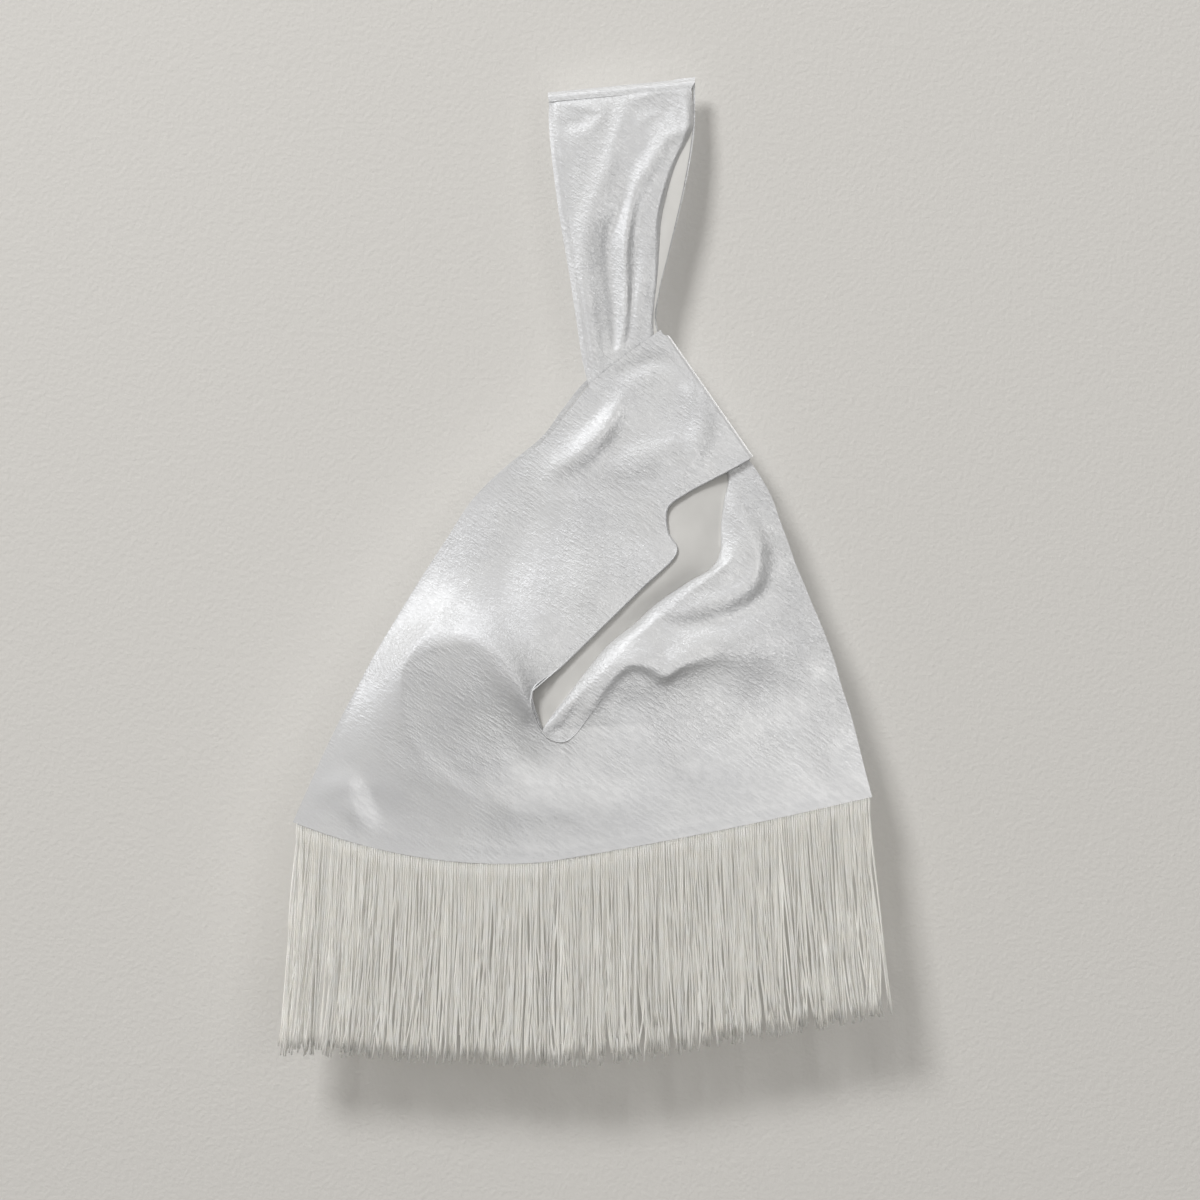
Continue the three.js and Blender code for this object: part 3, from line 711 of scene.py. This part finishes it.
def fringe_layer(name, seed, depth, gather, offset):
    """One layer of the fringe. Tips draw together in loose tufts, and a few strands stray."""
    rng = np.random.default_rng(seed)
    tips = np.asarray(TIP_LINE_PX, float)
    tufts = np.cumsum(rng.uniform(*TUFT_WIDTHS_PX, 70)) + 270
    t = np.linspace(0, 1, 15)
    lines, radii = [], []
    for share in (np.arange(STRANDS_PER_LAYER) + 0.5) / STRANDS_PER_LAYER:
        x0 = HEM_LEFT_PX[0] + 3 + share * (HEM_RIGHT_PX[0] - HEM_LEFT_PX[0] - 6) + offset
        x0 += rng.uniform(-0.3, 0.3)
        x1 = tips[0, 0] + share * (tips[-1, 0] - tips[0, 0]) + rng.normal(0, 5)
        x1 += gather * (tufts[np.argmin(np.abs(tufts - x1))] - x1)
        if rng.random() < STRAY_SHARE:
            x1 += rng.uniform(-22, 22)
        y0 = hem_height(x0) - rng.uniform(0.2, 1.6)
        y1 = np.interp(x1, tips[:, 0], tips[:, 1]) + rng.uniform(-9, 4)
        y1 -= (rng.random() < SHORT_SHARE) * rng.uniform(5, 30)
        waves = rng.uniform(1.2, 3.0)
        sway = (rng.normal(0, 3.2) * np.sin(math.pi * t) + rng.normal(0, 1.6) * np.sin(2 * math.pi * t)
                + rng.normal(0, 0.8) * t * np.sin(2 * math.pi * (waves * t + rng.random())))
        x = x0 + (x1 - x0) * t**rng.uniform(0.9, 1.7) + sway * t**0.8
        y = y0 + (y1 - y0) * t
        swing = depth * np.clip(0.7 + 8 * t, 0, 1) + rng.normal(0, 0.9) * t
        swing += rng.normal(0, 0.4) * np.sin(math.pi * t)
        lines.append(np.column_stack([x, y, swing]))
        radii.append(STRAND_RADIUS_MM * rng.uniform(0.8, 1.15))
    return tube(name, lines, radii, sides=5)


fringe_pieces = [
    fringe_layer("fringe_strands_front", 5, 0.6, 0.45, 0.0),
    fringe_layer("fringe_strands_middle", 6, 0.0, 0.35, 1.0),
    fringe_layer("fringe_strands_back", 8, -0.6, 0.3, 0.5),
]


def flat_band(name, outer, inner, thickness_mm, depth=0.0, columns=4):
    """A narrow band of cloth between two lines of (px, py), on the bag's middle plane."""
    u = np.linspace(0, 1, columns + 1)
    outer, inner = np.asarray(outer, float), np.asarray(inner, float)
    flat = outer[:, None] * (1 - u)[None, :, None] + inner[:, None] * u[None, :, None]
    along, across = flat[1, 0] - flat[0, 0], flat[0, 1] - flat[0, 0]
    if along[0] * across[1] - along[1] * across[0] < 0:
        flat = flat[:, ::-1]
    depths = np.full(flat.shape[:2], depth + thickness_mm / 2)
    return cloth_piece(name, [np.dstack([flat, depths])], -1, thickness_mm)


hem_at = HEM_LINE[2:-2:2]
tape_top = hem_at - [0, TAPE_RISE_PX]
tape_top[:, 0] = np.clip(tape_top[:, 0], HEM_LEFT_PX[0] + 15, HEM_RIGHT_PX[0] - 10)
tape = flat_band("fringe_header_tape", hem_at + [0, 0.5], tape_top, 0.5)
hem_allowance = flat_band("bottom_seam_allowance", hem_at[4:-4] - [0, TAPE_RISE_PX + 2],
                          hem_at[4:-4] - [0, TAPE_RISE_PX + 2 + SEAM_WIDTH_PX], 0.4)
left_side_line = front_left[34:8 * ROW_STEPS:4, 0, :2]
right_side_line = front_right[34:9 * ROW_STEPS:4, -1, :2]
left_allowance = flat_band("left_side_seam_allowance", left_side_line + [5, 0],
                           left_side_line + [5 + SEAM_WIDTH_PX, 0], 0.4)
right_allowance = flat_band("right_side_seam_allowance", right_side_line - [5, 0],
                            right_side_line - [5 + SEAM_WIDTH_PX, 0], 0.4)


def node_tree(name):
    """A new material, its nodes, its shader and the place on the object in metres."""
    material = bpy.data.materials.new(name)
    material.use_nodes = True
    tree = material.node_tree
    place_on = add_node(tree, "ShaderNodeTexCoord").outputs["Object"]
    return material, tree, tree.nodes["Principled BSDF"], place_on


def add_node(tree, kind, settings=None, links=None):
    """A shader node with its settings and the sockets that feed it."""
    node = tree.nodes.new(kind)
    for key, value in (settings or {}).items():
        if isinstance(key, str) and hasattr(node, key):
            setattr(node, key, value)
        else:
            node.inputs[key].default_value = value
    for key, socket in (links or {}).items():
        tree.links.new(socket, node.inputs[key])
    return node


def set_shader(tree, shader, values, links):
    for name, value in values.items():
        shader.inputs[name].default_value = value
    for name, socket in links.items():
        tree.links.new(socket, shader.inputs[name])


def noise(tree, coordinates, size_mm, detail, distortion=0.0):
    """Smooth noise round 0.5 whose features are about that size."""
    settings = {"Scale": 1 / (size_mm * MM), "Detail": detail, "Distortion": distortion}
    return add_node(tree, "ShaderNodeTexNoise", settings, {"Vector": coordinates}).outputs["Fac"]


def map_range(tree, value, source, target=(0.0, 1.0)):
    """A value carried from one range to another and held at its ends."""
    settings = {"From Min": source[0], "From Max": source[1], "To Min": target[0], "To Max": target[1]}
    return add_node(tree, "ShaderNodeMapRange", settings, {"Value": value}).outputs["Result"]


def maths(tree, operation, *terms):
    """The result of one operation on numbers and sockets."""
    node = add_node(tree, "ShaderNodeMath", {"operation": operation})
    for term_input, term in zip(node.inputs, terms):
        if isinstance(term, (int, float)):
            term_input.default_value = term
        else:
            tree.links.new(term, term_input)
    return node.outputs[0]


def colour_drift(tree, coordinates, dark, light, size_mm):
    """A colour that wanders between two, in patches of about that size."""
    ramp = add_node(tree, "ShaderNodeValToRGB", links={"Fac": noise(tree, coordinates, size_mm, 3.0)})
    for element, position, code in zip(ramp.color_ramp.elements, (0.35, 0.65), (dark, light)):
        element.position = position
        element.color = srgb(code)
    return ramp.outputs["Color"]


def bump(tree, height, strength, distance_mm):
    settings = {"Strength": strength, "Distance": distance_mm * MM}
    return add_node(tree, "ShaderNodeBump", settings, {"Height": height}).outputs["Normal"]


# The tape's edge in the middle of the hem, and how far above it handling begins and ends to crease the satin
HEM_HEIGHT = place(0, 851).z
CREASES_RISE = (0.03, 0.09)


def polyester_satin():
    """Polyester satin: long floats over the weave give a bright, slightly broken gloss; handling leaves fine
    creases that scatter it into grains a millimetre or so across."""
    material, tree, shader, place_on = node_tree("polyester_satin")
    slant = add_node(tree, "ShaderNodeMapping",
                     {"vector_type": "TEXTURE", "Rotation": (0, 0.62, 0), "Scale": (5, 1, 1)},
                     {"Vector": place_on}).outputs["Vector"]
    creased = maths(tree, "MULTIPLY_ADD", noise(tree, slant, 1.1, 2.0, distortion=0.3), 1.2, 0.15)
    floats = maths(tree, "MULTIPLY_ADD", noise(tree, place_on, 0.8, 1.0), 0.5, creased)
    drift = colour_drift(tree, place_on, "#C1C2C4", "#C6C7C8", 30)
    speckle = map_range(tree, floats, (0.8, 1.2), (0.985, 1.015))
    toned = add_node(tree, "ShaderNodeVectorMath", {"operation": "SCALE"}, {0: drift, "Scale": speckle})
    # The cloth is smooth near the hem, and further up it is creased more in some patches than in others
    height = add_node(tree, "ShaderNodeSeparateXYZ", links={"Vector": place_on}).outputs["Z"]
    handled = map_range(tree, height, [HEM_HEIGHT + rise for rise in CREASES_RISE], (0.12, 1.0))
    worn = map_range(tree, noise(tree, place_on, 26, 1.0), (0.38, 0.58), (0.45, 1.1))
    depth = maths(tree, "MULTIPLY", handled, worn)
    relief = maths(tree, "MULTIPLY", maths(tree, "SUBTRACT", floats, 1.0), depth)
    set_shader(tree, shader, {"Specular IOR Level": 0.6, "Coat Roughness": 0.22, "Coat IOR": 3.1}, {
        "Base Color": toned.outputs["Vector"],
        "Roughness": map_range(tree, floats, (0.85, 1.15), (0.55, 0.38)),
        "Coat Weight": map_range(tree, floats, (0.9, 1.1), (0.64, 1.0)),
        "Coat Normal": bump(tree, relief, 1.0, 0.8),
        "Normal": bump(tree, relief, 1.0, 0.04),
    })
    return material


def woven_cloth(name, dark, light, drift_mm, weave_mm, roughness, weave_strength, weave_depth_mm):
    """A matt woven cloth whose threads show as a fine bump."""
    material, tree, shader, place_on = node_tree(name)
    weave = noise(tree, place_on, weave_mm, 2.0)
    set_shader(tree, shader, {"Roughness": roughness}, {
        "Base Color": colour_drift(tree, place_on, dark, light, drift_mm),
        "Normal": bump(tree, weave, weave_strength, weave_depth_mm),
    })
    return material


def rayon_strand():
    """Twisted rayon: each strand is two plies wound together, bright where a ply faces the light. Its colour
    is also painted darker in the groove between the plies, as painted shade.
    """
    material, tree, shader, place_on = node_tree("twisted_rayon")
    thread = add_node(tree, "ShaderNodeUVMap", {"uv_map": "thread"}).outputs["UV"]
    split = add_node(tree, "ShaderNodeSeparateXYZ", links={"Vector": thread})
    turns = maths(tree, "MULTIPLY", split.outputs["Y"], 1 / TWIST_MM)
    phase = maths(tree, "ADD", turns, split.outputs["X"])
    plies = maths(tree, "SINE", maths(tree, "MULTIPLY", phase, 4 * math.pi))
    # Painted shade: the colour is near white on each ply's crest and falls to the strands' own cream-to-white
    # tone in the groove between plies
    colour = add_node(tree, "ShaderNodeMix", {"data_type": "RGBA", 7: srgb("#FEFEFE")},
                      {"Factor": map_range(tree, plies, (-1.0, 0.6)),
                       6: colour_drift(tree, place_on, "#F4EEE4", "#FDFCFA", 5)})
    set_shader(tree, shader, {"Roughness": 0.3, "Specular IOR Level": 1.0},
               {"Base Color": colour.outputs[2], "Normal": bump(tree, plies, 1.0, 0.07)})
    through = add_node(tree, "ShaderNodeBsdfTranslucent", {"Color": srgb("#FFFFFC")})
    mix = add_node(tree, "ShaderNodeMixShader", {0: 0.5}, {1: shader.outputs[0], 2: through.outputs[0]})
    tree.links.new(mix.outputs[0], tree.nodes["Material Output"].inputs["Surface"])
    return material


satin = polyester_satin()
# Plain-woven polyester lining: thin, dull and a little greyer than the satin
lining = woven_cloth("polyester_lining", "#C7C6C3", "#CFCECB", 18, 0.7, 0.7, 0.3, 0.08)
strand = rayon_strand()
# Narrow woven cotton tape, matt and slightly cream
tape_cloth = woven_cloth("cotton_tape", "#CDC9BD", "#D9D5CA", 6, 0.9, 0.85, 0.4, 0.1)


def finish_piece(piece, material, nodes=()):
    piece.data.materials.clear()
    piece.data.materials.append(material)
    if nodes:
        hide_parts(*nodes)


for piece, material, slot_name, nodes in (
    (front_cloth, satin, "satin", ("front_satin", "short_loop_end")),
    (back_cloth, satin, "satin", ("back_satin",)),
    (front_lining, lining, "lining", ("front_lining",)),
    (back_lining, lining, "lining", ("back_lining",)),
    (front_mouth_seam, satin, "satin", ("front_mouth_seam",)),
    (back_mouth_seam, satin, "satin", ("back_mouth_seam",)),
    (left_allowance, lining, "seam", ("left_side_seam",)),
    (right_allowance, lining, "seam", ("right_side_seam",)),
    (hem_allowance, lining, "seam", ("bottom_seam",)),
    (tape, tape_cloth, "tape", ("fringe_header",)),
):
    finish_piece(piece, material, nodes)
    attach(piece, "bag")

for piece, material, slot_name, nodes in (
    (handle_front, satin, "satin", ("handle_front_satin", "knot_front_satin")),
    (handle_back, satin, "satin", ("handle_back_satin", "knot_back_satin")),
    (handle_front_lining, lining, "lining", ("handle_front_lining", "knot_front_lining")),
    (handle_back_lining, lining, "lining", ("handle_back_lining", "knot_back_lining")),
):
    finish_piece(piece, material, nodes)
    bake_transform(piece)
finish_piece(handle_seam, satin, ("handle_top_seam",))
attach(handle_seam, "handle")

for piece in fringe_pieces:
    finish_piece(piece, strand, ("fringe_strands",))
    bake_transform(piece)


# Stage: a pale wall just behind, leaning a little so that the hem hangs further off it than the handle
def wall():
    bpy.ops.mesh.primitive_plane_add(size=6, location=(0, 0, 0))
    plane = bpy.context.object
    plane.name = "wall"
    top, bottom = Vector((0, 0.013, 0)), Vector((0, 0.038, -0.47))
    down = (bottom - top).normalized()
    plane.data.transform(Vector((0, -1, 0)).rotation_difference(down).to_matrix().to_4x4())
    plane.data.transform(Matrix.Translation(top))
    material, tree, shader, place_on = node_tree("painted_wall")
    stipple = noise(tree, place_on, 2.2, 2.0)
    set_shader(tree, shader, {"Base Color": srgb("#CFCDC9"), "Roughness": 0.9},
               {"Normal": bump(tree, stipple, 0.6, 0.5)})
    # Seen from behind it is clear, and it throws no shadow
    from_behind = add_node(tree, "ShaderNodeNewGeometry").outputs["Backfacing"]
    shadow = add_node(tree, "ShaderNodeLightPath").outputs["Is Shadow Ray"]
    either = maths(tree, "MAXIMUM", from_behind, shadow)
    clear = add_node(tree, "ShaderNodeBsdfTransparent")
    mix = add_node(tree, "ShaderNodeMixShader", links={0: either, 1: shader.outputs[0], 2: clear.outputs[0]})
    tree.links.new(mix.outputs[0], tree.nodes["Material Output"].inputs["Surface"])
    plane.data.materials.append(material)


wall()
middle = place(*PHOTO_CENTRE_PX)


def area_light(name, offset, size, power):
    """A square lamp that far from the picture's middle, turned towards it."""
    data = bpy.data.lights.new(name, "AREA")
    data.size, data.energy = size, power
    lamp = bpy.data.objects.new(name, data)
    place_at = middle + Vector(offset)
    lamp.location = place_at
    lamp.rotation_euler = (middle - place_at).to_track_quat("-Z", "Y").to_euler()
    bpy.context.collection.objects.link(lamp)
    return lamp


# The key lights the cloth itself. Gloss would clip in it, and mirrors the small glint lamp there instead.
KEY_OFFSET = (-1.35, -2.2, 1.95)
area_light("key", KEY_OFFSET, 0.8, 62).visible_glossy = False
area_light("glint", KEY_OFFSET, 0.6, 6)
area_light("fill", (0.8, -2.4, -0.6), 2.2, 14)
area_light("side", (1.4, -2.5, 0.45), 1.0, 4)
area_light("back", (1.2, 1.9, 1.2), 1.6, 55)


def studio_surroundings():
    """Even pale surroundings for the camera. What lights the bag is bright high on the left and dim and a
    little
    warm low on the right, as in the photo, so that the satin has something darker to mirror."""
    world = bpy.data.worlds.new("studio")
    world.use_nodes = True
    tree = world.node_tree
    lighting = tree.nodes["Background"]
    direction = add_node(tree, "ShaderNodeTexCoord").outputs["Generated"]
    towards = add_node(tree, "ShaderNodeVectorMath", {"operation": "DOT_PRODUCT", 1: (-0.58, 0.0, 0.81)},
                       {0: direction}).outputs["Value"]
    even = map_range(tree, towards, (-0.3, 0.04), (0.04, 0.62))
    high = map_range(tree, towards, (0.38, 0.58), (0.0, 1.25))
    rays = add_node(tree, "ShaderNodeLightPath")
    shade = maths(tree, "MULTIPLY_ADD", high, rays.outputs["Is Glossy Ray"], even)
    tree.links.new(shade, lighting.inputs["Strength"])
    tint = add_node(tree, "ShaderNodeMix", {"data_type": "RGBA", 6: srgb("#F6EDDF"), 7: srgb("#F3F4F6")},
                    {"Factor": shade})
    tree.links.new(tint.outputs[2], lighting.inputs["Color"])
    backdrop = add_node(tree, "ShaderNodeBackground", {"Color": srgb("#C9C8C6"), "Strength": 1.0})
    mix = add_node(tree, "ShaderNodeMixShader", links={0: rays.outputs["Is Camera Ray"],
                                                       1: lighting.outputs[0], 2: backdrop.outputs[0]})
    tree.links.new(mix.outputs[0], tree.nodes["World Output"].inputs["Surface"])
    bpy.context.scene.world = world


studio_surroundings()

camera_data = bpy.data.cameras.new("camera")
camera = bpy.data.objects.new("camera", camera_data)
CAMERA_DISTANCE = 1.4
camera.location = middle - Vector((0, CAMERA_DISTANCE, 0))
camera.rotation_euler = (math.pi / 2, 0, 0)
camera_data.sensor_fit = "HORIZONTAL"
camera_data.angle = 2 * math.atan(PHOTO_WIDTH_PX * METRES_PER_PX / 2 / CAMERA_DISTANCE)
bpy.context.collection.objects.link(camera)
bpy.context.scene.camera = camera
bpy.context.scene.view_settings.view_transform = "Standard"
